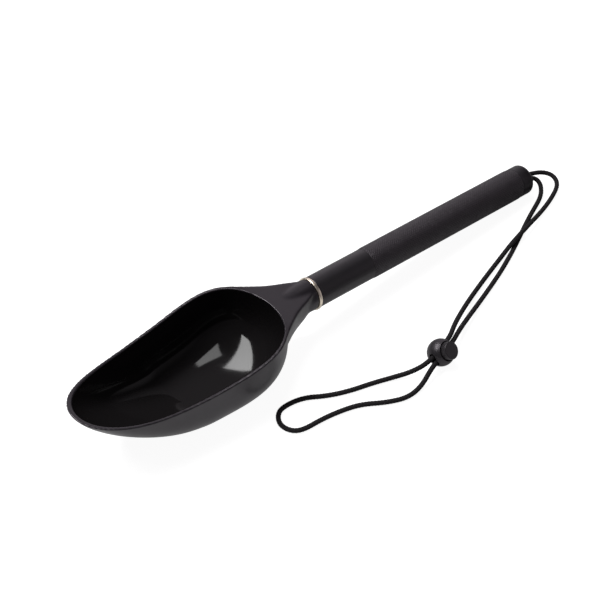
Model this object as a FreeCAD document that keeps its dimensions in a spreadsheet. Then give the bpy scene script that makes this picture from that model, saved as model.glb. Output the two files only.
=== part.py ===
"""Hand scoop: a deep moulded bowl on a tubular handle, with a wrist lanyard and a ball cord lock.

Row frame, millimetres: +X runs from the bowl to the butt of the handle, +Z is up, and the scoop lies
on z = 0, resting on the flat of its bowl and on the lower edge of its butt cap. The origin is under
the middle of the scoop. Handle pieces are drawn along their own +Z, which is zero at the trim ring,
and are then laid down along the handle.
"""
import FreeCAD, Part
import math
import os

import Sketcher
from FreeCAD import Placement, Rotation, Vector

SIZES = {
    # handle, measured along its axis from the middle of the trim ring
    "ring_x": -9.2,
    "tilt_deg": 4.776,
    "ring_radius": 11.6,
    "ring_width": 2.4,
    "tube_radius": 11.0,
    "tube_bore": 9.5,
    "grip_start": 49.5,
    "grip_end": 197.0,
    "grip_skin": 0.3,
    "butt_end": 208.5,
    "butt_corner": 3.2,
    "cap_spigot": 17.0,
    "cord_hole": 3.8,
    "cord_hole_depth": 8.0,
    "knot_chamber": 7.4,
    "knot_radius": 5.3,
    # neck and spigot of the moulding
    "neck_radius": 11.0,
    "neck_ridge_length": 35.0,
    "neck_ridge_fade": 2.0,
    "spigot_length": 28.0,
    "core_radius": 7.0,
    "core_floor": 1.0,
    # bowl: planform at the rim, then its walls
    "bowl_wide_x": -86.5,
    "bowl_half_width": 36.4,
    "bowl_front": 110.25,
    "bowl_back": 42.3,
    "bowl_taper": 0.27,
    "bowl_taper_start": 0.10,
    "tip_fullness": 6.5,
    "back_fullness": 2.6,
    "bowl_deep_x": -119.0,
    "side_fullness": 3.4,
    "front_fullness": 1.43,
    "heel_fullness": 3.3,
    "side_height": 38.5,
    "tip_height": 50.0,
    "heel_height": 42.0,
    "wall": 2.4,
    "tip_wall": 3.0,
    "base_flat": 0.6,
    "shelf_rise": 3.0,
    "shelf_fullness": 2.4,
    "trim_reach": 60.0,
    "trim_top": 80.0,
    # cord and lock
    "cord_radius": 1.7,
    "ball_radius": 9.25,
    "ball_x": 31.2,
    "ball_y": -82.9,
    "ball_heading_deg": 15.0,
    "button_lean_deg": 50.0,
    "button_radius": 6.05,
    "button_top": 10.2,
    "button_corner": 0.7,
    "button_foot": -3.6,
    "button_slot_low": -2.1,
    "button_slot_high": 4.4,
    "button_slot_width": 9.0,
    "button_travel": 2.5,
    "bore_gap": 0.2,
    "mouth_gap": 0.7,
    "mouth_floor": 4.8,
    "slot_width": 9.2,
    "slot_height": 4.6,
    "spring_pocket": 3.1,
    "spring_floor": -7.9,
    "spring_radius": 2.4,
    "spring_wire": 0.22,
    "spring_gap": 0.05,
    "spring_pitch": 1.2,
}

# Side view of the rim and of the shelf behind it: x, z, from the turned-up tip to the trim ring.
RIM_LINE = [(-206, 49.6), (-190.4, 45.9), (-160, 40.2), (-128, 38.0), (-100, 39.0),
            (-68, 42.1), (-52, 42.6), (-40, 40.9), (-25, 38.5), (-8, 36.3)]

# Shelf and its concave underside, cut across the handle: x, half width, lowest z.
SHELF_SECTIONS = [(-11.2, 7.4, 17.0), (-18.7, 10.6, 14.3), (-26.0, 13.5, 12.6), (-33.1, 16.5, 11.7),
                  (-39.8, 20.2, 11.4), (-46.3, 24.3, 11.4), (-52.5, 28.4, 11.6), (-58.7, 32.2, 12.0)]

# Heights of the bowl's level outlines above its own floor, up past the highest part of the rim.
BOWL_LEVELS = [0, 1.2, 3, 6, 10, 15, 21, 28, 34, 39, 44, 49, 54]

# Lanyard, by its bends: out of the butt, over its own return strand, through the lock, round the
# wrist loop, back through the lock and into the butt again.
CORD_ROUTE = [
    (190.6, 1.85, 11.45), (196.9, 1.9, 10.95), (203.6, 1.4, 10.3), (211.0, -0.7, 9.5),
    (216.9, -3.6, 8.4), (220.4, -8.7, 7.1), (219.3, -14.4, 5.6), (214.9, -18.5, 4.3),
    (206.6, -21.9, 3.0), (196.5, -25.2, 2.2), (185.0, -28.5, 2.6), (171.5, -32.8, 5.5),
    (147.0, -38.3, 5.5), (132.0, -41.5, 2.2), (116.0, -46.1, 1.75), (100.5, -51.1, 1.95),
    (85.0, -56.9, 3.4), (70.0, -63.7, 6.4), (55.0, -71.3, 9.5), (44.0, -78.2, 10.67),
    (18.6, -85.0, 10.67), (8.5, -79.6, 4.2), (-2.5, -73.4, 1.8), (-16.0, -68.2, 1.72),
    (-31.5, -63.5, 1.72), (-45.5, -57.0, 1.72), (-58.5, -47.6, 1.72), (-74.0, -45.2, 1.72),
    (-80.8, -49.3, 1.72), (-84.3, -56.6, 1.72), (-81.9, -64.5, 1.72), (-75.5, -68.5, 1.72),
    (-60.5, -69.6, 1.72), (-46.0, -72.6, 1.72), (-33.5, -77.0, 1.72), (-20.5, -86.5, 1.72),
    (-7.0, -92.6, 1.72), (6.5, -91.4, 2.6), (18.3, -87.6, 7.83), (44.3, -80.65, 7.83),
    (57.0, -74.7, 6.9), (73.0, -68.5, 4.5), (90.0, -62.2, 2.3), (107.0, -56.3, 1.8),
    (124.0, -50.2, 1.72), (140.5, -43.3, 1.72), (156.5, -35.9, 1.72), (172.0, -28.3, 1.72),
    (184.5, -22.8, 1.75), (193.0, -19.5, 2.2), (199.0, -16.9, 3.2), (203.3, -13.9, 4.8),
    (206.2, -10.1, 6.9), (206.6, -6.1, 8.9), (204.2, -3.2, 10.1), (200.2, -2.0, 10.65),
    (195.5, -1.85, 11.05), (190.6, -1.85, 11.45)]

doc = FreeCAD.newDocument("HandScoop")
sheet = doc.addObject("Spreadsheet::Sheet", "Dimensions")
for row, (alias, value) in enumerate(SIZES.items(), start=1):
    sheet.set(f"A{row}", alias)
    sheet.set(f"B{row}", str(value))
    sheet.setAlias(f"B{row}", alias)
doc.recompute()


def size(alias):
    """A driving dimension, read back from the sheet."""
    return float(sheet.get(alias))


def bind(obj, **expressions):
    """Tie properties of an object to the sheet: every word that is an alias becomes a reference."""
    for prop, words in expressions.items():
        text = " ".join(f"Dimensions.{w}" if w in SIZES else w for w in words.split())
        obj.setExpression(prop.replace("__", "."), text)
    return obj


def cylinder(name, radius, bottom, height):
    return bind(doc.addObject("Part::Cylinder", name), Radius=radius, Height=height,
                Placement__Base__z=bottom)


def cut(name, base, tool):
    result = doc.addObject("Part::Cut", name)
    result.Base = base
    result.Tool = tool
    return result


def fuse(name, *shapes):
    result = doc.addObject("Part::MultiFuse", name)
    result.Shapes = list(shapes)
    return result


def freeform(name, shape):
    """A solid of its own, worked out from the dimensions rather than drawn on a plane."""
    feature = doc.addObject("Part::Feature", name)
    feature.Shape = shape
    return feature


def spline_edge(points, closed=False):
    curve = Part.BSplineCurve()
    curve.interpolate(Points=[Vector(*p) for p in points], PeriodicFlag=closed)
    return curve.toShape()


def sleeve(name, outer, bore, start, length):
    """A plain tube drawn as an annulus and padded along the handle."""
    body = doc.addObject("PartDesign::Body", name)
    plane = next(f for f in body.Origin.OriginFeatures if f.Role == "XY_Plane")
    section = body.newObject("Sketcher::SketchObject", name + "_section")
    section.AttachmentSupport = [(plane, "")]
    section.MapMode = "FlatFace"
    for label, radius in (("outer", 12.0), ("bore", 9.0)):
        index = section.addGeometry(Part.Circle(Vector(0, 0, 0), Vector(0, 0, 1), radius), False)
        section.addConstraint(Sketcher.Constraint("Coincident", index, 3, -1, 1))
        mark = section.addConstraint(Sketcher.Constraint("Radius", index, radius))
        section.renameConstraint(mark, label)
    bind(section, Constraints__outer=outer, Constraints__bore=bore, AttachmentOffset__Base__z=start)
    pad = body.newObject("PartDesign::Pad", name + "_pad")
    pad.Profile = section
    bind(pad, Length=length)
    return body


def outline(level, inner):
    """The bowl's closed outline at one height: the rim's planform, drawn in as the walls close in."""
    skin = 0.0 if inner else size("wall")
    tip_skin = 0.0 if inner else size("tip_wall")
    front = size("bowl_front") + tip_skin
    back = size("bowl_back") + skin
    half = size("bowl_half_width") + skin
    floor = size("wall") if inner else 0.0

    def draw_in(height, fullness):
        depth = 1 - (level + size("base_flat")) / (height - floor + size("base_flat"))
        return (1 - max(depth, 0.0) ** fullness) ** (1 / fullness)

    narrow = draw_in(size("side_height"), size("side_fullness"))
    forward = draw_in(size("tip_height"), size("front_fullness"))
    rearward = draw_in(size("heel_height"), size("heel_fullness"))
    points = []
    steps = 40
    for step in range(steps):
        turn = 2 * math.pi * step / steps
        u = abs(math.cos(turn))
        if math.cos(turn) > 0:
            ease = u * u * (1 + size("bowl_taper_start")) / (u + size("bowl_taper_start"))
            width = (1 - size("bowl_taper") * ease) * math.sqrt(max(0, 1 - u ** size("tip_fullness")))
            x = size("bowl_wide_x") - front * u
        else:
            width = math.sqrt(max(0, 1 - u ** size("back_fullness")))
            x = size("bowl_wide_x") + back * u
        reach = x - size("bowl_deep_x")
        x = size("bowl_deep_x") + reach * (forward if reach < 0 else rearward)
        side = 1 if math.sin(turn) > 0 else -1
        points.append((x, side * half * width * narrow, floor + level))
    return Part.Wire([spline_edge(points, closed=True)])


def bowl_form(name, inner):
    return freeform(name, Part.makeLoft([outline(z, inner) for z in BOWL_LEVELS], True, False))


def above_rim():
    """Everything above the rim line, to trim the bowl and the shelf with."""
    line = spline_edge([(x, 0, z) for x, z in RIM_LINE])
    top = size("trim_top")
    ends = (RIM_LINE[-1], (RIM_LINE[-1][0], top), (RIM_LINE[0][0], top), RIM_LINE[0])
    sides = Part.makePolygon([Vector(x, 0, z) for x, z in ends])
    face = Part.Face(Part.Wire([line, *sides.Edges]))
    slab = face.extrude(Vector(0, 2 * size("trim_reach"), 0))
    slab.translate(Vector(0, -size("trim_reach"), 0))
    return slab


def shelf_section(x, half, low):
    """One cut through the shelf: upright sides above the rim line, a full half oval below it."""
    line = spline_edge([(px, 0, pz) for px, pz in RIM_LINE])
    upright = Part.makeLine(Vector(x, 0, 0), Vector(x, 0, size("trim_top")))
    edge = line.distToShape(upright)[1][0][0].z
    top = edge + size("shelf_rise")
    steps = 12
    power = 2 / size("shelf_fullness")
    arc = []
    for step in range(steps + 1):
        turn = math.pi * step / steps
        across = math.copysign(abs(math.cos(turn)) ** power, math.cos(turn))
        arc.append((x, half * across, edge - (edge - low) * abs(math.sin(turn)) ** power))
    sides = Part.makePolygon([Vector(x, -half, edge), Vector(x, -half, top), Vector(x, half, top),
                              Vector(x, half, edge)])
    return Part.Wire([spline_edge(arc), *sides.Edges])


def cord_tube():
    """The lanyard: straight runs joined by tangent arcs, swept with a round section."""
    corners = [Vector(*p) for p in CORD_ROUTE]
    edges = []
    radii = []
    reached = corners[0]
    for before, corner, after in zip(corners, corners[1:], corners[2:]):
        come = (corner - before).normalize()
        leave = (after - corner).normalize()
        half_turn = come.getAngle(leave) / 2
        trim = 0.45 * min((corner - before).Length, (after - corner).Length)
        radii.append(trim / math.tan(half_turn))
        start = corner - come * trim
        end = corner + leave * trim
        middle = corner + (leave - come).normalize() * radii[-1] * (1 / math.cos(half_turn) - 1)
        edges.append(Part.LineSegment(reached, start).toShape())
        edges.append(Part.Arc(start, middle, end).toShape())
        reached = end
    edges.append(Part.LineSegment(reached, corners[-1]).toShape())
    path = Part.Wire(edges)
    circle = Part.makeCircle(size("cord_radius"), corners[0], corners[1] - corners[0])
    tube = path.makePipeShell([Part.Wire([circle])], True, False)
    ideal = math.pi * size("cord_radius") ** 2 * path.Length
    print("cord: length %.1f mm, smallest radius %.1f mm, volume against section times length %.4f"
          % (path.Length, min(radii), tube.Volume / ideal))
    print("cord radii, mm:", " ".join("%.0f" % r for r in radii))
    return tube


def round_off(name, base, radius, pick):
    """A fillet on the edges that pick chooses."""
    doc.recompute()
    result = doc.addObject("Part::Fillet", name)
    result.Base = base
    result.Edges = [(n, radius, radius) for n, e in enumerate(base.Shape.Edges, start=1) if pick(e)]
    return result


def is_circle(edge, radius, height):
    return (isinstance(edge.Curve, Part.Circle) and abs(edge.Curve.Radius - radius) < 1e-6
            and abs(edge.Curve.Center.z - height) < 1e-6)


def lay_down(obj):
    """Lay a piece drawn along +Z down along the handle, butt end low."""
    tilt = math.radians(size("tilt_deg"))
    height = ((size("butt_end") - size("butt_corner")) * math.sin(tilt)
              + (size("tube_radius") - size("butt_corner")) * math.cos(tilt) + size("butt_corner"))
    obj.Placement = Placement(Vector(size("ring_x"), 0, height),
                              Rotation(Vector(0, 1, 0), 90 + size("tilt_deg"))).multiply(obj.Placement)
    return obj


def at_lock(obj):
    """Put a piece of the lock in place: +X is its cord slot, +Z its button."""
    place = Placement(Vector(size("ball_x"), size("ball_y"), size("ball_radius")),
                      Rotation(size("ball_heading_deg"), 0, size("button_lean_deg")))
    obj.Placement = place.multiply(obj.Placement)
    return obj


def scoop_head():
    """Bowl, neck and hollow spigot in one moulding."""
    bowl = bowl_form("bowl_outer", inner=False)
    hollow = bowl_form("bowl_hollow", inner=True)
    shelf = freeform("shelf", Part.makeLoft([shelf_section(*s) for s in SHELF_SECTIONS], True, False))
    trim = freeform("above_rim", above_rim())
    blank = cut("rimmed_bowl", fuse("bowl_and_shelf", bowl, shelf), trim)
    ridge = bind(doc.addObject("Part::Cone", "neck_ridge"), Radius1="neck_radius - neck_ridge_fade",
                 Radius2="neck_radius", Height="neck_ridge_length",
                 Placement__Base__z="0 - neck_ridge_length - ring_width / 2")
    spigot = cylinder("spigot", "tube_bore", "0 - ring_width / 2", "spigot_length + ring_width / 2")
    core = cylinder("spigot_core", "core_radius", "0 - ring_width / 2 + core_floor", "2 * spigot_length")
    neck = lay_down(cut("neck", fuse("neck_blank", ridge, spigot), core))
    return cut("scoop_head", fuse("head_blank", blank, neck), hollow)


def butt_cap():
    head = cylinder("cap_head", "tube_radius", "grip_end", "butt_end - grip_end")
    plug = cylinder("cap_plug", "tube_bore", "grip_end - cap_spigot", "cap_spigot")
    hole = cylinder("cap_cord_hole", "cord_hole", "butt_end - 2 * cord_hole_depth",
                    "3 * cord_hole_depth")
    chamber = cylinder("cap_knot_chamber", "knot_chamber", "grip_end - cap_spigot - 1",
                       "butt_end - cord_hole_depth - grip_end + cap_spigot + 1")
    blank = cut("cap_chambered", cut("cap_holed", fuse("cap_blank", head, plug), hole), chamber)
    return lay_down(round_off("butt_cap", blank, size("butt_corner"),
                              lambda e: is_circle(e, size("tube_radius"), size("butt_end"))))


def cord_end_knot():
    """The stopper knot that both ends of the cord are tied into, flat where it meets the cap."""
    flat = math.sqrt(size("knot_radius") ** 2 - size("cord_hole") ** 2)
    face = size("butt_end") - size("cord_hole_depth")
    ball = bind(doc.addObject("Part::Sphere", "knot_ball"), Radius="knot_radius")
    ball.Placement.Base = Vector(0, 0, face - flat)
    slab = cylinder("knot_slab", "2 * knot_radius", "butt_end - cord_hole_depth - 3 * knot_radius",
                    "3 * knot_radius")
    knot = doc.addObject("Part::MultiCommon", "cord_end_knot")
    knot.Shapes = [ball, slab]
    return lay_down(knot)


def slot_tool(name, width, low, high):
    """An oblong cutter with round ends, right through the lock along its +X."""
    tall = high - low
    start = -2 * size("ball_radius")
    half = (width - tall) / 2
    box = Part.makeBox(-2 * start, 2 * half, tall, Vector(start, -half, low))
    ends = [Part.makeCylinder(tall / 2, -2 * start, Vector(start, y, (low + high) / 2), Vector(1, 0, 0))
            for y in (-half, half)]
    return freeform(name, box.multiFuse(ends).removeSplitter())


def lock_body():
    ball = bind(doc.addObject("Part::Sphere", "ball"), Radius="ball_radius")
    bore = cylinder("button_bore", "button_radius + bore_gap", "button_foot - button_travel - 0.1",
                    "2 * ball_radius")
    mouth = cylinder("button_mouth", "button_radius + mouth_gap", "mouth_floor", "ball_radius")
    pocket = cylinder("spring_pocket_bore", "spring_pocket", "spring_floor", "ball_radius")
    slot = slot_tool("cord_slot", size("slot_width"), -size("slot_height") / 2, size("slot_height") / 2)
    return at_lock(cut("lock_body", cut("ball_bored", ball, fuse("ball_bores", bore, mouth, pocket)), slot))


def lock_button():
    post = cylinder("button_post", "button_radius", "button_foot", "button_top - button_foot")
    window = slot_tool("button_window", size("button_slot_width"), size("button_slot_low"),
                       size("button_slot_high"))
    crowned = round_off("button_crowned", post, size("button_corner"),
                        lambda e: is_circle(e, size("button_radius"), size("button_top")))
    return at_lock(cut("lock_button", crowned, window))


def lock_spring():
    low = size("spring_floor") + size("spring_wire") + size("spring_gap")
    height = size("button_foot") - size("spring_wire") - size("spring_gap") - low
    helix = Part.makeHelix(size("spring_pitch"), height, size("spring_radius"))
    start = Vector(size("spring_radius"), 0, 0)
    wire = Part.Wire([Part.makeCircle(size("spring_wire"), start, Vector(0, 1, 0))])
    coil = Part.Wire(helix.Edges).makePipeShell([wire], True, True)
    coil.translate(Vector(0, 0, low))
    return at_lock(freeform("lock_spring", coil))


nodes = [
    scoop_head(),
    lay_down(sleeve("trim_ring", "ring_radius", "tube_bore", "0 - ring_width / 2", "ring_width")),
    lay_down(sleeve("handle_tube", "tube_radius", "tube_bore", "ring_width / 2",
                    "grip_end - ring_width / 2")),
    lay_down(sleeve("grip_sleeve", "tube_radius + grip_skin", "tube_radius", "grip_start",
                    "grip_end - grip_start")),
    butt_cap(),
    cord_end_knot(),
    freeform("lanyard_cord", cord_tube()),
    lock_body(),
    lock_button(),
    lock_spring(),
]
doc.recompute()

for obj in doc.Objects:
    if "Invalid" in obj.State or "Error" in obj.State:
        raise RuntimeError(f"{obj.Label} failed: {obj.State}")
os.makedirs("parts", exist_ok=True)
for node in nodes:
    if node.Shape.isNull() or not node.Shape.isValid() or not node.Shape.Solids:
        raise RuntimeError(f"{node.Label} has no sound solid")
    node.Shape.exportStep(f"parts/{node.Label}.step")
    box = node.Shape.BoundBox
    print("%-14s solids %d volume %9.1f  x %7.2f..%7.2f  y %7.2f..%7.2f  z %6.2f..%6.2f" % (
        node.Label, len(node.Shape.Solids), node.Shape.Volume, box.XMin, box.XMax, box.YMin, box.YMax,
        box.ZMin, box.ZMax))
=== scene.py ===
"""Looks of the hand scoop: polished bowl on a satin moulding, gold ring, lacquered tube with a
textured grip, butt cap, braided lanyard and ball cord lock. Row frame, metres, +Z up."""

import math

import bpy
import numpy as np
from mathutils import Matrix, Vector
from mathutils.bvhtree import BVHTree


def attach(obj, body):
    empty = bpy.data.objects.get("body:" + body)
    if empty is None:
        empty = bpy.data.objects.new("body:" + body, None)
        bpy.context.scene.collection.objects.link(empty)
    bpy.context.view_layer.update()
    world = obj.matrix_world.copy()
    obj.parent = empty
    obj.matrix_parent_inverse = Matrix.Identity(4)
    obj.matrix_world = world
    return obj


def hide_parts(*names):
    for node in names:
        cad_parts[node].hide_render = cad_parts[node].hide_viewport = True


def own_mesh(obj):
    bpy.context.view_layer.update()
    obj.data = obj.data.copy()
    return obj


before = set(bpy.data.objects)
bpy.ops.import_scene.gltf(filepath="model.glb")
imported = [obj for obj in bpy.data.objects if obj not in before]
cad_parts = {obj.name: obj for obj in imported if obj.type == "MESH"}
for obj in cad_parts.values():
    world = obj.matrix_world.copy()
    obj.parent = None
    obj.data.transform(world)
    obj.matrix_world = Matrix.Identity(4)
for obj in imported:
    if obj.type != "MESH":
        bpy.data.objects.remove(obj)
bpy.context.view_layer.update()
MM = 0.001
scene = bpy.context.scene


def link(obj):
    scene.collection.objects.link(obj)
    return obj


# ---------------------------------------------------------------- camera
CAMERA_PLACE = (-0.52892, -0.57744, 0.78846)
CAMERA_PITCH = 45.4       # degrees up from straight down
CAMERA_HEADING = -41.5    # degrees anticlockwise from +Y
camera = link(bpy.data.objects.new("camera", bpy.data.cameras.new("camera")))
camera.data.lens = 99
camera.data.sensor_width = 36
camera.location = CAMERA_PLACE
camera.rotation_euler = (math.radians(CAMERA_PITCH), 0, math.radians(CAMERA_HEADING))
scene.camera = camera

# ---------------------------------------------------------------- lanyard
# The lanyard by its bends, in millimetres: out of the butt, over its own return strand, through the
# lock, round the wrist loop, back through the lock and into the butt again.
CORD_ROUTE = [
    (190.6, 1.85, 11.45), (196.9, 1.9, 10.95), (203.6, 1.4, 10.3), (211.0, -0.7, 9.5),
    (216.9, -3.6, 8.4), (220.4, -8.7, 7.1), (219.3, -14.4, 5.6), (214.9, -18.5, 4.3),
    (206.6, -21.9, 3.0), (196.5, -25.2, 2.2), (185.0, -28.5, 2.6), (171.5, -32.8, 5.5),
    (147.0, -38.3, 5.5), (132.0, -41.5, 2.2), (116.0, -46.1, 1.75), (100.5, -51.1, 1.95),
    (85.0, -56.9, 3.4), (70.0, -63.7, 6.4), (55.0, -71.3, 9.5), (44.0, -78.2, 10.67),
    (18.6, -85.0, 10.67), (8.5, -79.6, 4.2), (-2.5, -73.4, 1.8), (-16.0, -68.2, 1.72),
    (-31.5, -63.5, 1.72), (-45.5, -57.0, 1.72), (-58.5, -47.6, 1.72), (-74.0, -45.2, 1.72),
    (-80.8, -49.3, 1.72), (-84.3, -56.6, 1.72), (-81.9, -64.5, 1.72), (-75.5, -68.5, 1.72),
    (-60.5, -69.6, 1.72), (-46.0, -72.6, 1.72), (-33.5, -77.0, 1.72), (-20.5, -86.5, 1.72),
    (-7.0, -92.6, 1.72), (6.5, -91.4, 2.6), (18.3, -87.6, 7.83), (44.3, -80.65, 7.83),
    (57.0, -74.7, 6.9), (73.0, -68.5, 4.5), (90.0, -62.2, 2.3), (107.0, -56.3, 1.8),
    (124.0, -50.2, 1.72), (140.5, -43.3, 1.72), (156.5, -35.9, 1.72), (172.0, -28.3, 1.72),
    (184.5, -22.8, 1.75), (193.0, -19.5, 2.2), (199.0, -16.9, 3.2), (203.3, -13.9, 4.8),
    (206.2, -10.1, 6.9), (206.6, -6.1, 8.9), (204.2, -3.2, 10.1), (200.2, -2.0, 10.65),
    (195.5, -1.85, 11.05), (190.6, -1.85, 11.45)]
CORD_RADIUS = 1.7
CORD_STEP = 0.42          # spacing of the rings of the braid's surface, mm
CORD_SIDES = 42
STRANDS = 6               # strands that run each way round the cord
LAY = 12.5                # length in which a strand goes once round, mm
STRAND_HEIGHT = 0.30      # half height of a strand's oval section, mm
STRAND_CURVE = 3.6        # one over the square of that oval's half width, in strand spacings
STRAND_LIFT = 0.11        # how far a strand rises and dips as it passes over and under, mm


def route_points():
    """Evenly spaced points of the lanyard's own NURBS line, in millimetres."""
    curve = bpy.data.curves.new("lanyard_line", "CURVE")
    curve.dimensions = "3D"
    curve.resolution_u = 24
    spline = curve.splines.new("NURBS")
    spline.points.add(len(CORD_ROUTE) - 1)
    for point, where in zip(spline.points, CORD_ROUTE):
        point.co = (*(Vector(where) * MM), 1)
    spline.order_u = 3
    spline.use_endpoint_u = True
    holder = bpy.data.objects.new("lanyard_line", curve)
    line = bpy.data.meshes.new_from_object(holder)
    path = np.array([v.co for v in line.vertices]) / MM
    bpy.data.objects.remove(holder)
    bpy.data.meshes.remove(line)
    bpy.data.curves.remove(curve)
    gone = np.concatenate([[0], np.cumsum(np.linalg.norm(np.diff(path, axis=0), axis=1))])
    steps = np.linspace(0, gone[-1], int(gone[-1] / CORD_STEP) + 1)
    even = np.stack([np.interp(steps, gone, path[:, k]) for k in range(3)], axis=1)
    return even, steps


def grid_mesh(name, points, caps=False):
    """A mesh from closed rings of points, shape (rings, sides, 3), in millimetres."""
    rings, sides = points.shape[:2]
    index = np.arange(rings * sides).reshape(rings, sides)
    right = np.roll(index, -1, axis=1)
    quads = np.stack([index[:-1], right[:-1], right[1:], index[1:]], axis=-1).reshape(-1, 4).tolist()
    if caps:
        quads += [index[0][::-1].tolist(), index[-1].tolist()]
    mesh = bpy.data.meshes.new(name)
    mesh.from_pydata((points.reshape(-1, 3) * MM).tolist(), [], quads)
    mesh.validate()
    mesh.polygons.foreach_set("use_smooth", [True] * len(mesh.polygons))
    return mesh


def braid():
    """The lanyard's surface: strands that cross over and under each other round the line."""
    path, gone = route_points()
    tangent = np.gradient(path, axis=0)
    tangent /= np.linalg.norm(tangent, axis=1)[:, None]
    side = np.cross(tangent[0], (0, 0, 1))
    sides = [side / np.linalg.norm(side)]
    for t in tangent[1:]:
        side = sides[-1] - t * (sides[-1] @ t)
        sides.append(side / np.linalg.norm(side))
    side = np.array(sides)
    up = np.cross(tangent, side)
    turn = np.arange(CORD_SIDES) / CORD_SIDES
    one = STRANDS * (turn[None, :] + gone[:, None] / LAY)
    other = STRANDS * (turn[None, :] - gone[:, None] / LAY)
    across_one, across_other = one - np.round(one), other - np.round(other)
    over = np.cos(math.pi * (np.round(one) + other))
    under = -np.cos(math.pi * (one + np.round(other)))
    height_one = STRAND_HEIGHT * np.sqrt(1 - STRAND_CURVE * across_one ** 2) + STRAND_LIFT * over
    height_other = STRAND_HEIGHT * np.sqrt(1 - STRAND_CURVE * across_other ** 2) + STRAND_LIFT * under
    height = np.maximum(height_one, height_other)
    radius = CORD_RADIUS - height.max() + height
    angle = 2 * math.pi * turn[None, :, None]
    ring = side[:, None] * np.cos(angle) + up[:, None] * np.sin(angle)
    surface = path[:, None] + ring * radius[..., None]
    return link(bpy.data.objects.new("lanyard", grid_mesh("lanyard", surface, caps=True))), path


lanyard, lanyard_path = braid()

# ---------------------------------------------------------------- floor and light
# Sizes and places in this section are in metres.
WHITE = (1.0, 1.0, 1.0, 1)
FLOOR_HALF = 4.0
FLOOR_COLOUR = (0.35, 0.35, 0.35, 1)
FLOOR_SEEN = 0.93                         # the floor's own glow as the camera sees it
GLOW_CENTRE = (-0.17, -0.05, 0)           # the floor lights the object most from here
GLOW_INNER, GLOW_OUTER = 0.02, 0.44       # distances between which that glow falls off
GLOW_MOST, GLOW_LEAST = 0.48, 0.03
PANEL_HEIGHT = 1.5
PANEL_X = -0.08                           # place above which the panels' corners are measured
PANEL_BACK = [(-0.80, 0.14), (-0.655, 0.476), (0.049, 0.931), (0.254, 0.598)]
PANEL_TOP = [(-0.12, -0.02), (0.084, 0.385), (0.317, 0.40), (0.302, 0.21)]
PANEL_BACK_STRENGTH = 17
PANEL_TOP_STRENGTH = 7
ROOM_COLOUR = (1.0, 0.93, 0.99, 1)
ROOM_LEVEL = 0.035
# Soft patches of room light: azimuth and elevation in degrees, then how nearly a direction must
# face the patch to catch some of it and all of it, then its strength.
ROOM_PATCHES = [(48, 36, 0.70, 0.96, 0.26), (42, 8, 0.84, 0.98, 0.62), (240, 20, 0.35, 0.95, 0.08),
                (262, 72, 0.78, 0.98, 0.05), (308, 14, 0.78, 0.98, 0.13), (328, 10, 0.86, 0.98, 0.22)]
scene.view_settings.view_transform = "Standard"
scene.view_settings.look = "None"


def nodes_of(owner):
    owner.use_nodes = True
    tree = owner.node_tree
    tree.nodes.clear()
    return tree


def add(tree, kind, **sockets):
    """A node with some inputs set, to a value or linked to an output socket.

    i3 is the fourth input, Base__Color is "Base Color", and _operation is the node's own setting.
    """
    node = tree.nodes.new(kind)
    for key, value in sockets.items():
        if key.startswith("_"):
            setattr(node, key[1:], value)
            continue
        numbered = key[0] == "i" and key[1:].isdigit()
        socket = node.inputs[int(key[1:]) if numbered else key.replace("__", " ")]
        if isinstance(value, bpy.types.NodeSocket):
            tree.links.new(value, socket)
        else:
            socket.default_value = value
    return node


def floor_material():
    """A pale light table: near white to the camera, and to every other ray brightest by the bowl."""
    made = bpy.data.materials.new("floor")
    tree = nodes_of(made)
    lit = add(tree, "ShaderNodeBsdfDiffuse", Color=FLOOR_COLOUR)
    place = add(tree, "ShaderNodeTexCoord")
    away = add(tree, "ShaderNodeVectorMath", _operation="DISTANCE", i0=place.outputs["Object"],
               i1=GLOW_CENTRE)
    table = add(tree, "ShaderNodeMapRange", _interpolation_type="SMOOTHSTEP", i0=away.outputs["Value"],
                i1=GLOW_INNER, i2=GLOW_OUTER, i3=GLOW_MOST, i4=GLOW_LEAST)
    rays = add(tree, "ShaderNodeLightPath")
    level = add(tree, "ShaderNodeMapRange", Value=rays.outputs["Is Camera Ray"], i3=table.outputs[0],
                i4=FLOOR_SEEN)
    glow = add(tree, "ShaderNodeEmission", Color=WHITE, Strength=level.outputs[0])
    seen = add(tree, "ShaderNodeAddShader", i0=lit.outputs[0], i1=glow.outputs[0])
    add(tree, "ShaderNodeOutputMaterial", Surface=seen.outputs[0])
    return made


floor_mesh = bpy.data.meshes.new("floor")
floor_corners = [(x * FLOOR_HALF, y * FLOOR_HALF, 0) for x, y in ((-1, -1), (1, -1), (1, 1), (-1, 1))]
floor_mesh.from_pydata(floor_corners, [], [(0, 1, 2, 3)])
floor = link(bpy.data.objects.new("floor", floor_mesh))
floor_mesh.materials.append(floor_material())


def light_panel(name, corners, strength):
    """A flat overhead diffuser panel; corners in units of its height, seen from the bowl."""
    mesh = bpy.data.meshes.new(name)
    places = [(x * PANEL_HEIGHT + PANEL_X, y * PANEL_HEIGHT, PANEL_HEIGHT) for x, y in corners]
    mesh.from_pydata(places, [], [tuple(range(len(corners)))])
    made = bpy.data.materials.new(name)
    tree = nodes_of(made)
    glow = add(tree, "ShaderNodeEmission", Color=WHITE, Strength=strength)
    add(tree, "ShaderNodeOutputMaterial", Surface=glow.outputs[0])
    mesh.materials.append(made)
    panel = link(bpy.data.objects.new(name, mesh))


light_panel("panel_back", PANEL_BACK, PANEL_BACK_STRENGTH)
light_panel("panel_top", PANEL_TOP, PANEL_TOP_STRENGTH)

world = bpy.data.worlds.new("studio")
scene.world = world
tree = nodes_of(world)
position = add(tree, "ShaderNodeTexCoord")
room = add(tree, "ShaderNodeValue")
room.outputs[0].default_value = ROOM_LEVEL


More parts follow.
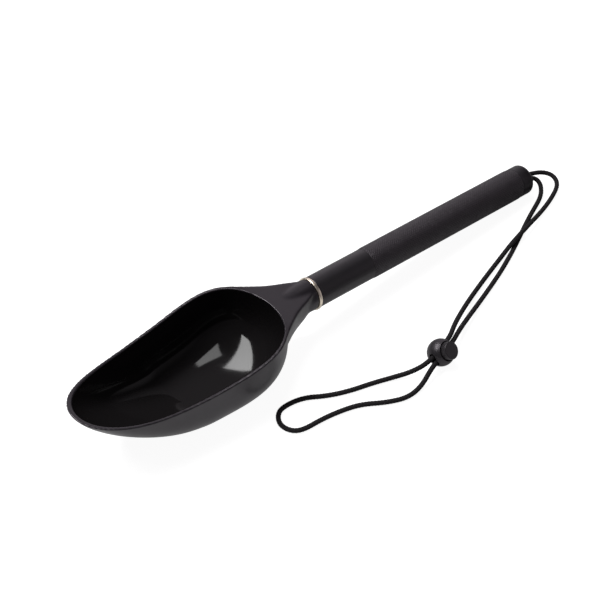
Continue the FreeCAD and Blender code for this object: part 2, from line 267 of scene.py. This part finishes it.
def glow_towards(azimuth, elevation, start, full, strength):
    """A soft patch of room light round one direction."""
    a, e = math.radians(azimuth), math.radians(elevation)
    facing = add(tree, "ShaderNodeVectorMath", _operation="DOT_PRODUCT", i0=position.outputs["Generated"],
                 i1=(math.cos(a) * math.cos(e), math.sin(a) * math.cos(e), math.sin(e)))
    return add(tree, "ShaderNodeMapRange", _interpolation_type="SMOOTHSTEP", i0=facing.outputs["Value"],
               i1=start, i2=full, i3=0.0, i4=strength).outputs[0]


def total(*values):
    """The sum of some output sockets."""
    out = values[0]
    for value in values[1:]:
        out = add(tree, "ShaderNodeMath", _operation="ADD", i0=out, i1=value).outputs[0]
    return out


glow = total(room.outputs[0], *[glow_towards(*patch) for patch in ROOM_PATCHES])
sky = add(tree, "ShaderNodeBackground", Color=ROOM_COLOUR, Strength=glow)
add(tree, "ShaderNodeOutputWorld", Surface=sky.outputs[0])

# ---------------------------------------------------------------- materials
WARM_BLACK = (1.0, 0.93, 1.0, 1)      # tint of the dark pieces' reflections
NOISE_LOW, NOISE_HIGH = 0.3, 0.7      # the band that most of a noise's values lie in
KNURL_PITCH = 2.0                     # length of one diamond along the handle, mm
KNURL_COUNT = 35                      # diamonds round the handle
KNURL_DEPTH = 0.2                     # mm
KNURL_GRAIN = 0.35                    # the grain's height beside the knurl's
GRIP_ROUGHNESS = 0.39, 0.53
# The grip's colour runs from GRIP_DARK, painted shade in the knurl's grooves, to GRIP_PALE on the diamonds'
# crests and in a random mottle.
GRIP_DARK, GRIP_PALE = (0.0050, 0.0040, 0.0050), (0.0238, 0.0197, 0.0241)
# The cap's colour by the grip seam is a painted sheen, paler to match the skin's brightness; CAP_DARK is the
# cap's own black.
CAP_PAINTED_SHEEN, CAP_DARK = (0.0250, 0.0225, 0.0255), (0.0125, 0.0112, 0.0130)
CAP_FADE = -1, 7                      # from the seam, between which the painted sheen fades to the cap's own black, mm
CAP_DRIFT = 2                         # how far that fade wanders, mm


def coordinates(tree, scale):
    """Object coordinates in units of one over scale millimetres."""
    place = add(tree, "ShaderNodeTexCoord")
    return add(tree, "ShaderNodeMapping", Vector=place.outputs["Object"], Scale=(scale / MM,) * 3).outputs[0]


def mottle(tree, scale, low, high, detail=5.0):
    """A slow noise, as it is and as a value that wanders from low to high."""
    cloud = add(tree, "ShaderNodeTexNoise", Vector=coordinates(tree, scale), Scale=1.0, Detail=detail)
    level = add(tree, "ShaderNodeMapRange", Value=cloud.outputs["Fac"], i1=NOISE_LOW, i2=NOISE_HIGH,
                i3=low, i4=high)
    return cloud.outputs["Fac"], level.outputs[0]


def blend(tree, share, first, second):
    """A colour that goes from first to second as share goes from 0 to 1."""
    shade = add(tree, "ShaderNodeMix", _data_type="RGBA", _blend_type="MIX", i0=share, i6=(*first, 1),
                i7=(*second, 1))
    return shade.outputs[2]


def finish(name, colour, roughness, spread=0.0, metallic=0.0, bump=0.0, bump_scale=1.0, bump_depth=0.01,
           detail=3.0, specular=0.5, tint=WHITE, coat=0.0, coat_roughness=0.05):
    """A Principled material whose roughness wanders by spread and whose grain is a noise bump."""
    made = bpy.data.materials.new(name)
    tree = nodes_of(made)
    shader = add(tree, "ShaderNodeBsdfPrincipled", Base__Color=(*colour, 1), Metallic=metallic,
                 Roughness=roughness, Specular__IOR__Level=specular, Coat__Weight=coat,
                 Coat__Roughness=coat_roughness, Specular__Tint=tint)
    if spread:
        _, level = mottle(tree, 0.09, roughness - spread, roughness + spread)
        tree.links.new(level, shader.inputs["Roughness"])
    if bump:
        grain = add(tree, "ShaderNodeTexNoise", Vector=coordinates(tree, bump_scale), Scale=1.0,
                    Detail=detail)
        rough = add(tree, "ShaderNodeBump", Strength=bump, Distance=bump_depth * MM,
                    Height=grain.outputs["Fac"])
        tree.links.new(rough.outputs[0], shader.inputs["Normal"])
    add(tree, "ShaderNodeOutputMaterial", Surface=shader.outputs[0])
    return made


def grip_finish():
    """Satin skin with a fine diamond knurl, worked out round and along the handle; its colour has painted
    shade in the knurl's grooves.
    """
    made = bpy.data.materials.new("grip_diamond")
    tree = nodes_of(made)
    uv = add(tree, "ShaderNodeUVMap")
    split = add(tree, "ShaderNodeSeparateXYZ", i0=uv.outputs[0])

    def math_node(op, a, b=0.0):
        return add(tree, "ShaderNodeMath", _operation=op, i0=a, i1=b).outputs[0]

    def wave(sign):
        run = math_node("ADD", split.outputs[0], math_node("MULTIPLY", split.outputs[1], sign))
        return math_node("ABSOLUTE", math_node("SINE", math_node("MULTIPLY", run, math.pi)))

    pattern = math_node("MINIMUM", wave(1.0), wave(-1.0))
    grain = add(tree, "ShaderNodeTexNoise", Vector=coordinates(tree, 3.0), Scale=1.0, Detail=3.0)
    relief = math_node("ADD", pattern, math_node("MULTIPLY", grain.outputs["Fac"], KNURL_GRAIN))
    rough = add(tree, "ShaderNodeBump", Strength=1.0, Distance=KNURL_DEPTH * MM, Height=relief)
    cloud, level = mottle(tree, 0.10, *GRIP_ROUGHNESS)
    # Base colour: darker in the knurl's grooves, which is painted shade, paler on the crests, and mottled at
    # random by a slow noise.
    groove_shade_and_mottle = math_node("ADD", math_node("MULTIPLY", pattern, 0.8), math_node("MULTIPLY", cloud, 0.4))
    shader = add(tree, "ShaderNodeBsdfPrincipled", Base__Color=blend(tree, groove_shade_and_mottle, GRIP_DARK, GRIP_PALE),
                 Roughness=level, Normal=rough.outputs[0], Specular__Tint=WARM_BLACK)
    add(tree, "ShaderNodeOutputMaterial", Surface=shader.outputs[0])
    return made


POLISHED = finish("moulding_polished", (0.0082, 0.0074, 0.0078), 0.075, spread=0.015, bump=0.03,
                  bump_scale=0.02, bump_depth=0.4, specular=0.20)
SATIN = finish("moulding_satin", (0.0075, 0.0062, 0.0083), 0.33, spread=0.04, bump=0.12, bump_scale=2.5,
               bump_depth=0.05, tint=WARM_BLACK)
GOLD = finish("gold_ring", (0.93, 0.83, 0.69), 0.30, spread=0.03, metallic=1.0)
LACQUER = finish("tube_lacquer", (0.0170, 0.0155, 0.0175), 0.33, spread=0.03, bump=0.03, bump_scale=0.15,
                 bump_depth=0.2, specular=0.35, tint=WARM_BLACK, coat=0.06, coat_roughness=0.09)
CORD = finish("cord_braid", (0.018, 0.0165, 0.018), 0.70, spread=0.06, bump=0.5, bump_scale=7.0,
              bump_depth=0.08, specular=0.08)
LOCK = finish("lock_satin", (0.016, 0.0145, 0.0165), 0.40, spread=0.04, bump=0.12, bump_scale=3.0,
              bump_depth=0.05, tint=WARM_BLACK)
STEEL = finish("spring_steel", (0.60, 0.60, 0.62), 0.25, spread=0.05, metallic=1.0)
GRIP = grip_finish()


def dress(obj, *materials):
    """Gives a piece its materials, in the order of its slots."""
    obj.data.materials.clear()
    for m in materials:
        obj.data.materials.append(m)
    return obj


# ---------------------------------------------------------------- handle pieces
# Sizes are in millimetres. Those along the handle are measured from the middle of the gold ring.
TILT = 4.776              # degrees that the handle falls towards its butt
RING_X = -9.2
BUTT_END = 208.5
BUTT_CORNER = 3.2
TUBE_RADIUS = 11.0
BORE = 9.5
RING_HALF = 1.2
RING_CROWN = 0.6
RING_FULLNESS = 2.6
TUBE_CHAMFER = 0.2
GRIP_START = 49.5
GRIP_END = 197.0
GRIP_R = 11.3
GRIP_LEAD = 3.5           # length over which the skin comes up to its full thickness
PLUG_START = 180.0
CAP_CHAMFER = 0.15
CAP_FACE_RING = 6.5       # a ring of vertices on the cap's flat end
CORD_HOLE = 3.8
HOLE_ROUND = 0.8
HOLE_DEPTH = 8.0
CHAMBER = 7.4
ring_height = ((BUTT_END - BUTT_CORNER) * math.sin(math.radians(TILT))
               + (TUBE_RADIUS - BUTT_CORNER) * math.cos(math.radians(TILT)) + BUTT_CORNER)
ALONG = (Matrix.Translation((RING_X * MM, 0, ring_height * MM))
         @ Matrix.Rotation(math.radians(90 + TILT), 4, "Y"))


def lathe(name, profile, sides=160):
    """A ring-shaped solid turned round the handle: profile is its closed outline, (along, radius)."""
    outline = np.array(profile, float)
    angle = 2 * math.pi * np.arange(sides) / sides
    points = np.empty((len(outline) + 1, sides, 3))
    for k, (z, r) in enumerate(np.vstack([outline, outline[:1]])):
        points[k] = np.stack([r * np.cos(angle), r * np.sin(angle), np.full(sides, z)], axis=1)
    index = np.arange(len(outline) * sides).reshape(len(outline), sides)
    index = np.vstack([index, index[:1]])
    right = np.roll(index, -1, axis=1)
    quads = np.stack([index[:-1], right[:-1], right[1:], index[1:]], axis=-1).reshape(-1, 4)
    mesh = bpy.data.meshes.new(name)
    mesh.from_pydata((points[:-1].reshape(-1, 3) * MM).tolist(), [], quads.tolist())
    mesh.validate()
    mesh.transform(ALONG)
    mesh.polygons.foreach_set("use_smooth", [True] * len(mesh.polygons))
    return link(bpy.data.objects.new(name, mesh))


def corner(z, r, radius, start, steps=6):
    """Points of a quarter round about (z, r), from start degrees, turning anticlockwise."""
    return [(z + radius * math.cos(math.radians(start + 90 * k / steps)),
             r + radius * math.sin(math.radians(start + 90 * k / steps))) for k in range(steps + 1)]


def settle(obj, body, node, slot_name, *materials):
    """Dresses a piece, rides it on its body and lets it stand for its CAD node."""
    dress(obj, *materials)
    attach(obj, body)
    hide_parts(node)
    return obj


def along_steps(z0, z1, step):
    """Evenly spaced places from z0 to z1, about a step apart."""
    count = max(2, int(abs(z1 - z0) / step))
    return np.linspace(z0, z1, count + 1)


def crown(share):
    """The ring's rounded outside, at a share of its half width."""
    rise = (1 - abs(share) ** RING_FULLNESS) ** (1 / RING_FULLNESS)
    return RING_HALF * share, TUBE_RADIUS + RING_CROWN * rise


ring = lathe("trim_ring_polished",
             [(-RING_HALF, BORE)]
             + [crown(share) for share in np.sin(np.linspace(-math.pi / 2, math.pi / 2, 25))]
             + [(RING_HALF, BORE)])
settle(ring, "scoop", "trim_ring", "gold_ring", GOLD)

tube = lathe("tube_lacquered",
             [(RING_HALF, BORE), (RING_HALF, TUBE_RADIUS - TUBE_CHAMFER),
              (RING_HALF + TUBE_CHAMFER, TUBE_RADIUS)]
             + [(z, TUBE_RADIUS) for z in along_steps(RING_HALF + 1, GRIP_END, 4)]
             + [(GRIP_END, BORE)])
settle(tube, "scoop", "handle_tube", "tube_lacquer", LACQUER)


def grip():
    """The grip skin, with a soft shoulder at each end and the knurl's own coordinates."""
    lead = [(GRIP_LEAD * t, TUBE_RADIUS + (GRIP_R - TUBE_RADIUS) * t * t * (3 - 2 * t))
            for t in np.linspace(0, 1, 9)]
    outer = [(GRIP_START + z, r) for z, r in lead]
    outer += [(z, GRIP_R) for z in along_steps(GRIP_START + GRIP_LEAD + 1, GRIP_END - GRIP_LEAD - 1, 2)]
    outer += [(GRIP_END - z, r) for z, r in reversed(lead)]
    made = lathe("grip_textured", outer, sides=192)
    upright = ALONG.inverted()
    layer = made.data.uv_layers.new(name="knurl")
    co = [upright @ v.co for v in made.data.vertices]
    for poly in made.data.polygons:
        turns = []
        for loop in poly.loop_indices:
            p = co[made.data.loops[loop].vertex_index]
            turns.append(math.atan2(p.y, p.x) / (2 * math.pi))
        base = turns[0]
        for loop, t in zip(poly.loop_indices, turns):
            t -= round(t - base)
            p = co[made.data.loops[loop].vertex_index]
            layer.data[loop].uv = (t * KNURL_COUNT, p.z / MM / KNURL_PITCH)
    return made


settle(grip(), "scoop", "grip_sleeve", "grip_skin", GRIP)

round_end = corner(BUTT_END - BUTT_CORNER, TUBE_RADIUS - BUTT_CORNER, BUTT_CORNER, 0, steps=10)
cap = lathe("butt_cap_gloss",
            [(PLUG_START, CHAMBER), (PLUG_START, BORE), (GRIP_END, BORE),
             (GRIP_END, TUBE_RADIUS - CAP_CHAMFER), (GRIP_END + CAP_CHAMFER, TUBE_RADIUS)]
            + [(z, TUBE_RADIUS) for z in along_steps(GRIP_END + 1, BUTT_END - BUTT_CORNER - 0.5, 2)]
            + round_end[::-1]
            + [(BUTT_END, CAP_FACE_RING), (BUTT_END, CORD_HOLE + HOLE_ROUND)]
            + corner(BUTT_END - HOLE_ROUND, CORD_HOLE + HOLE_ROUND, -HOLE_ROUND, 90)
            + [(BUTT_END - HOLE_DEPTH, CORD_HOLE), (BUTT_END - HOLE_DEPTH, CHAMBER)])


def cap_finish():
    """The plug's gloss black, with a painted sheen where it meets the grip skin, fading out along an edge
    that a noise wanders.
    """
    made = finish("cap_gloss", (0.0140, 0.0125, 0.0145), 0.32, spread=0.03, bump=0.04, bump_scale=0.3,
                  bump_depth=0.1, specular=0.2, tint=WARM_BLACK)
    tree = made.node_tree
    axis = ALONG.to_3x3() @ Vector((0, 0, 1))
    seam = ALONG.translation.dot(axis) + GRIP_END * MM
    place = add(tree, "ShaderNodeTexCoord")
    reach = add(tree, "ShaderNodeVectorMath", _operation="DOT_PRODUCT", i0=place.outputs["Object"], i1=axis)
    _, drift = mottle(tree, 0.3, -CAP_DRIFT * MM, CAP_DRIFT * MM, detail=3.0)
    far = add(tree, "ShaderNodeMath", _operation="ADD", i0=reach.outputs["Value"], i1=drift)
    share = add(tree, "ShaderNodeMapRange", Value=far.outputs[0], i1=seam + CAP_FADE[0] * MM,
                i2=seam + CAP_FADE[1] * MM)
    shader = next(n for n in tree.nodes if n.type == "BSDF_PRINCIPLED")
    # The base colour carries a painted sheen by the seam and fades to the cap's own black further on.
    tree.links.new(blend(tree, share.outputs[0], CAP_PAINTED_SHEEN, CAP_DARK), shader.inputs["Base Color"])
    return made


settle(cap, "scoop", "butt_cap", "cap", cap_finish())

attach(dress(lanyard, CORD), "scoop")
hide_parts("lanyard_cord")

# ---------------------------------------------------------------- pieces softened from their CAD solids


def soften(node, name, voxel, rounds):
    """A copy of a CAD node with even quads and slightly rounded edges."""
    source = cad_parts[node]
    obj = link(bpy.data.objects.new(name, source.data.copy()))
    obj.data.materials.clear()
    remesh = obj.modifiers.new("voxels", "REMESH")
    remesh.mode = "VOXEL"
    remesh.voxel_size = voxel * MM
    remesh.use_smooth_shade = True
    if rounds:
        smooth = obj.modifiers.new("smooth", "SMOOTH")
        smooth.factor = 0.5
        smooth.iterations = rounds
    bpy.context.view_layer.update()
    graph = bpy.context.evaluated_depsgraph_get()
    mesh = bpy.data.meshes.new_from_object(obj.evaluated_get(graph))
    obj.modifiers.clear()
    obj.data = mesh
    mesh.name = name
    return obj


def positions(mesh):
    """A mesh's vertices, in millimetres."""
    co = np.empty(len(mesh.vertices) * 3, np.float32)
    mesh.vertices.foreach_get("co", co)
    return co.reshape(-1, 3).astype(float) / MM


def set_positions(mesh, co):
    """Puts a mesh's vertices at co, in millimetres."""
    mesh.vertices.foreach_set("co", (co * MM).astype(np.float32).ravel())
    mesh.update()


def vertex_normals(mesh):
    """A mesh's normals at its vertices."""
    out = np.empty(len(mesh.vertices) * 3, np.float32)
    mesh.vertex_normals.foreach_get("vector", out)
    return out.reshape(-1, 3).astype(float)


BALL = np.array((31.2, -82.9, 9.25))
BALL_R = 9.25
BALL_SKIN = 0.12                            # what lies this close to the ball's surface is drawn onto it
lock = soften("lock_body", "lock_ball", 0.16, 3)
co = positions(lock.data)
away = co - BALL
dist = np.linalg.norm(away, axis=1)
near = np.clip(2 * (1 - np.abs(dist - BALL_R) / BALL_SKIN), 0, 1)[:, None]
set_positions(lock.data, co + near * (away / dist[:, None] * BALL_R - away))
settle(lock, "cord_lock", "lock_body", "lock_plastic", LOCK)
button = soften("lock_button", "lock_push_button", 0.14, 3)
settle(button, "lock_button", "lock_button", "lock_plastic", LOCK)

SPRING_LOW, SPRING_HIGH = -7.63, -3.87      # ends of the wire's centre line, along the button's axis
SPRING_RADIUS, SPRING_WIRE, SPRING_PITCH = 2.4, 0.22, 1.2
SPRING_POINTS, WIRE_SIDES = 160, 16
LOCK_TURN, LOCK_LEAN = 15, 50               # degrees: the bore from +X, and the button from upright
LOCK_FRAME = (Matrix.Translation(Vector(BALL) * MM) @ Matrix.Rotation(math.radians(LOCK_TURN), 4, "Z")
              @ Matrix.Rotation(math.radians(LOCK_LEAN), 4, "X"))


def coil():
    """The button's return spring: round wire wound up from the floor of its pocket."""
    turns = (SPRING_HIGH - SPRING_LOW) / SPRING_PITCH
    t = np.linspace(0, 2 * math.pi * turns, SPRING_POINTS)
    outward = np.stack([np.cos(t), np.sin(t), np.zeros_like(t)], axis=1)
    climb = np.full_like(t, SPRING_PITCH / (2 * math.pi * SPRING_RADIUS))
    onward = np.stack([-np.sin(t), np.cos(t), climb], axis=1)
    onward /= np.linalg.norm(onward, axis=1)[:, None]
    upward = np.cross(outward, onward)
    centre = SPRING_RADIUS * outward
    centre[:, 2] = SPRING_LOW + SPRING_PITCH * t / (2 * math.pi)
    a = (2 * math.pi * np.arange(WIRE_SIDES) / WIRE_SIDES)[None, :, None]
    wire = outward[:, None] * np.cos(a) + upward[:, None] * np.sin(a)
    mesh = grid_mesh("return_spring", centre[:, None] + SPRING_WIRE * wire, caps=True)
    mesh.transform(LOCK_FRAME)
    return link(bpy.data.objects.new("return_spring", mesh))


spring = settle(coil(), "cord_lock", "lock_spring", "spring_steel", STEEL)
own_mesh(spring)
dress(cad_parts["cord_end_knot"], CORD)

# ---------------------------------------------------------------- moulding
# Side view of the rim and of the shelf behind it, in millimetres: x, z, from the tip to the ring.
RIM_LINE = [(-206, 49.6), (-190.4, 45.9), (-160, 40.2), (-128, 38.0), (-100, 39.0),
            (-68, 42.1), (-52, 42.6), (-40, 40.9), (-25, 38.5), (-8, 36.3)]
BOWL = dict(wide_x=-86.5, half=36.4, front=110.25, back=42.3, taper=0.27, taper_start=0.10,
            tip_full=6.5, back_full=2.6, deep_x=-119.0, side_full=3.4, front_full=1.43, heel_full=3.3,
            side_h=38.5, tip_h=50.0, heel_h=42.0, wall=2.4, tip_wall=3.0, base_flat=0.6)
RISE_ROUNDS = 30          # rounds in which the rim's height and place settle on each other
RISE_LEVELS = 900
RISE_POWER = 1.6          # crowds the levels towards the bowl's floor
SHELF_START, SHELF_END = -75, -10.5         # the shelf lies between these
SHELF_CLEAR = -35         # from here to the ring, no part of the shelf is near the bowl
SHELF_FADE = 2.6, 4.0     # distances from the bowl's inside over which the shelf's smoothing starts
FAR = 9.0                 # as far from the bowl's inside as matters
BOWL_END = -40            # the bowl's surfaces lie in front of this
INNER_REACH = 1.6         # a vertex this close to the bowl's inside, or outside, is drawn onto it
OUTER_REACH = 0.5
INNER_FADE, OUTER_FADE = (1.2, 1.6), (0.12, 0.3)      # distances over which that draw fades out
RIM_GAP, RIM_FADE = 0.5, 1.2                # it starts this far below the rim, and grows over this
SAME_WAY = 0.7            # how nearly the vertex and the surface must face the same or opposite ways
POLISHED_FROM = 0.3       # share of that draw from which the inside counts as polished


def rim_height(x):
    """The rim line's height, by a smooth curve through its points."""
    xs, zs = np.array(RIM_LINE, float).T
    slope = np.gradient(zs, xs)
    k = np.clip(np.searchsorted(xs, x) - 1, 0, len(xs) - 2)
    h = xs[k + 1] - xs[k]
    t = (x - xs[k]) / h
    return ((1 + 2 * t) * (1 - t) ** 2 * zs[k] + t * (1 - t) ** 2 * h * slope[k]
            + t * t * (3 - 2 * t) * zs[k + 1] + t * t * (t - 1) * h * slope[k + 1])


def bowl_grid(inner, angles=288, rows=150):
    """The bowl's surface from its deepest point up to the rim: rings (rows, angles, 3)."""
    b = BOWL
    skin, tip_skin = (0.0, 0.0) if inner else (b["wall"], b["tip_wall"])
    floor_z = b["wall"] if inner else 0.0
    turn = 2 * math.pi * (np.arange(angles) + 0.5) / angles
    u = np.abs(np.cos(turn))
    front = np.cos(turn) > 0
    ease = u * u * (1 + b["taper_start"]) / (u + b["taper_start"])
    width = np.where(front, (1 - b["taper"] * ease) * np.sqrt(np.maximum(0, 1 - u ** b["tip_full"])),
                     np.sqrt(np.maximum(0, 1 - u ** b["back_full"])))
    x_rim = np.where(front, b["wide_x"] - (b["front"] + tip_skin) * u, b["wide_x"] + (b["back"] + skin) * u)
    y_rim = (b["half"] + skin) * width * np.sign(np.sin(turn))

    def at(z):
        """Where the bowl's surface stands at the heights z."""
        level = z - floor_z + b["base_flat"]

        def draw_in(height, full):
            """How far a level is drawn in towards the deepest point."""
            depth = np.clip(1 - level / (height - floor_z + b["base_flat"]), 0, 1)
            return (1 - depth ** full) ** (1 / full)

        narrow, forward, rearward = (draw_in(b[h], b[f]) for h, f in (
            ("side_h", "side_full"), ("tip_h", "front_full"), ("heel_h", "heel_full")))
        reach = x_rim - b["deep_x"]
        return b["deep_x"] + reach * np.where(reach < 0, forward, rearward), y_rim * narrow

    bottom = floor_z - b["base_flat"]
    top = np.full(angles, 45.0)
    for _ in range(RISE_ROUNDS):
        top = 0.5 * top + 0.5 * rim_height(at(top)[0])
    share = (1 - np.cos(np.linspace(0, math.pi / 2, RISE_LEVELS))) ** RISE_POWER
    rings = []
    for s in share / share[-1]:
        z = bottom + (top - bottom) * s
        x, y = at(z)
        rings.append(np.stack([x, y, z], axis=1))
    rings = np.array(rings)
    gaps = np.linalg.norm(np.diff(rings, axis=0), axis=2)
    length = np.concatenate([np.zeros((1, angles)), np.cumsum(gaps, axis=0)])
    even = np.empty((rows, angles, 3))
    for a in range(angles):
        wanted = np.linspace(0, length[-1, a], rows)
        for k in range(3):
            even[:, a, k] = np.interp(wanted, length[:, a], rings[:, a, k])
    return even


def relax(grid, rounds):
    """Evens out the bowl's floor where its curves meet, leaving the rim's rows as they are."""
    rows = len(grid)
    hold = np.clip((np.arange(rows) / rows - 0.15) / 0.5, 0, 1)[:, None, None]
    free = 1 - hold * hold * (3 - 2 * hold)
    for _ in range(rounds):
        centre = grid[1].mean(axis=0)
        grid[0] = centre
        before, after = np.roll(grid, 1, axis=1), np.roll(grid, -1, axis=1)
        mean = grid.copy()
        mean[1:-1] = (grid[:-2] + grid[2:] + before[1:-1] + after[1:-1]) / 4
        grid = grid + free * 0.9 * (mean - grid)
    return grid


def tree_of(grid):
    """A search tree over a grid's triangles, with the corners' normals."""
    mesh = grid_mesh("probe", grid)
    mesh.update()
    normal = vertex_normals(mesh)
    points = grid.reshape(-1, 3)
    rows, cols = grid.shape[:2]
    index = np.arange(rows * cols).reshape(rows, cols)
    right = np.roll(index, -1, axis=1)
    a, b, c, d = (v.ravel() for v in (index[:-1], right[:-1], right[1:], index[1:]))
    tris = np.concatenate([np.stack([a, b, c], 1), np.stack([a, c, d], 1)])
    bpy.data.meshes.remove(mesh)
    return BVHTree.FromPolygons(points.tolist(), tris.tolist()), points, tris, normal


def project(co, which, probe, reach):
    """Nearest points on a probe surface for the vertices in which, their normals and distances."""
    search, points, tris, normal = probe
    spot = co.copy()
    bent = np.zeros_like(co)
    far = np.full(len(co), np.inf)
    hit = np.zeros(len(co), int)
    for i in np.nonzero(which)[0]:
        place, _, tri, distance = search.find_nearest(co[i], reach)
        if place is not None:
            spot[i], far[i], hit[i] = place, distance, tri
    found = np.isfinite(far)
    corners = points[tris[hit[found]]]
    e0, e1, e2 = corners[:, 1] - corners[:, 0], corners[:, 2] - corners[:, 0], spot[found] - corners[:, 0]
    d00, d01, d11 = (e0 * e0).sum(1), (e0 * e1).sum(1), (e1 * e1).sum(1)
    d20, d21 = (e2 * e0).sum(1), (e2 * e1).sum(1)
    base = d00 * d11 - d01 * d01 + 1e-12
    v, w = (d11 * d20 - d01 * d21) / base, (d00 * d21 - d01 * d20) / base
    weights = np.stack([1 - v - w, v, w], axis=1)
    mixed = (normal[tris[hit[found]]] * weights[..., None]).sum(1)
    bent[found] = mixed / (np.linalg.norm(mixed, axis=1)[:, None] + 1e-12)
    return spot, bent, far


def smooth_out(co, mesh, share, rounds):
    """Evens a mesh's vertices towards their neighbours, each by its own share."""
    ends = np.empty(len(mesh.edges) * 2, np.int32)
    mesh.edges.foreach_get("vertices", ends)
    ends = ends.reshape(-1, 2)
    count = np.bincount(ends.ravel(), minlength=len(co))[:, None]
    for _ in range(rounds):
        pull = np.stack([np.bincount(ends[:, 0], co[ends[:, 1], k], len(co))
                         + np.bincount(ends[:, 1], co[ends[:, 0], k], len(co)) for k in range(3)], axis=1)
        co = co + 0.5 * share[:, None] * (pull / count - co)
    return co


def ramp(value, start, full):
    """0 up to start, 1 from full on, and even in between."""
    return np.clip((value - start) / (full - start), 0, 1)


def even_shelf(head, inside):
    """Smooths the whole head a little and the shelf more, but not close to the bowl's inside."""
    co = positions(head.data)
    rear = (co[:, 0] > SHELF_START) & (co[:, 0] < SHELF_END)
    from_bowl = np.full(len(co), FAR)
    for i in np.nonzero(rear & (co[:, 0] < SHELF_CLEAR))[0]:
        from_bowl[i] = inside[0].find_nearest(co[i], FAR)[3] or FAR
    co = smooth_out(co, head.data, np.ones(len(co)), 5)
    co = smooth_out(co, head.data, rear * ramp(from_bowl, *SHELF_FADE), 16)
    set_positions(head.data, co)
    return co


def fit_skins(head, co, inside, outside):
    """Draws the remeshed bowl onto its true surfaces and says which vertices are polished."""
    own = vertex_normals(head.data)
    in_bowl = co[:, 0] < BOWL_END
    below_rim = rim_height(np.clip(co[:, 0], -205, -9)) - co[:, 2]
    weights = np.zeros(len(co))
    normals = own.copy()
    moved = co.copy()
    for probe, reach, fade in ((inside, INNER_REACH, INNER_FADE), (outside, OUTER_REACH, OUTER_FADE)):
        spot, bent, far = project(co, in_bowl, probe, reach)
        facing = (bent * own).sum(axis=1)
        flip = np.sign(facing)[:, None]
        share = (np.clip((fade[1] - far) / (fade[1] - fade[0]), 0, 1)
                 * np.clip((below_rim - RIM_GAP) / RIM_FADE, 0, 1))
        share = np.where(np.isfinite(far) & (np.abs(facing) > SAME_WAY) & (share > weights), share, 0)
        take = share > 0
        moved[take] = co[take] + share[take, None] * (spot[take] - co[take])
        mixed = own[take] * (1 - share[take, None]) + bent[take] * flip[take] * share[take, None]
        normals[take] = mixed / np.linalg.norm(mixed, axis=1)[:, None]
        weights = np.maximum(weights, share)
        if probe is inside:
            polished = share > POLISHED_FROM
    set_positions(head.data, moved)
    head.data.normals_split_custom_set_from_vertices(normals.tolist())
    return polished


def polish(mesh, polished):
    """Gives the second material to the faces whose corners are all polished."""
    corners = np.empty(len(mesh.loops), np.int32)
    mesh.loops.foreach_get("vertex_index", corners)
    starts = np.empty(len(mesh.polygons), np.int32)
    mesh.polygons.foreach_get("loop_start", starts)
    shiny = np.minimum.reduceat(polished[corners].astype(np.int32), starts)
    mesh.polygons.foreach_set("material_index", shiny.astype(np.int32))


bowl_inside = tree_of(relax(bowl_grid(True), 60))
bowl_outside = tree_of(relax(bowl_grid(False), 60))
head = soften("scoop_head", "bowl_moulding", 0.5, 0)
head_places = even_shelf(head, bowl_inside)
head_polished = fit_skins(head, head_places, bowl_inside, bowl_outside)
dress(head, SATIN, POLISHED)
polish(head.data, head_polished)
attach(head, "scoop")
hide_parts("scoop_head")
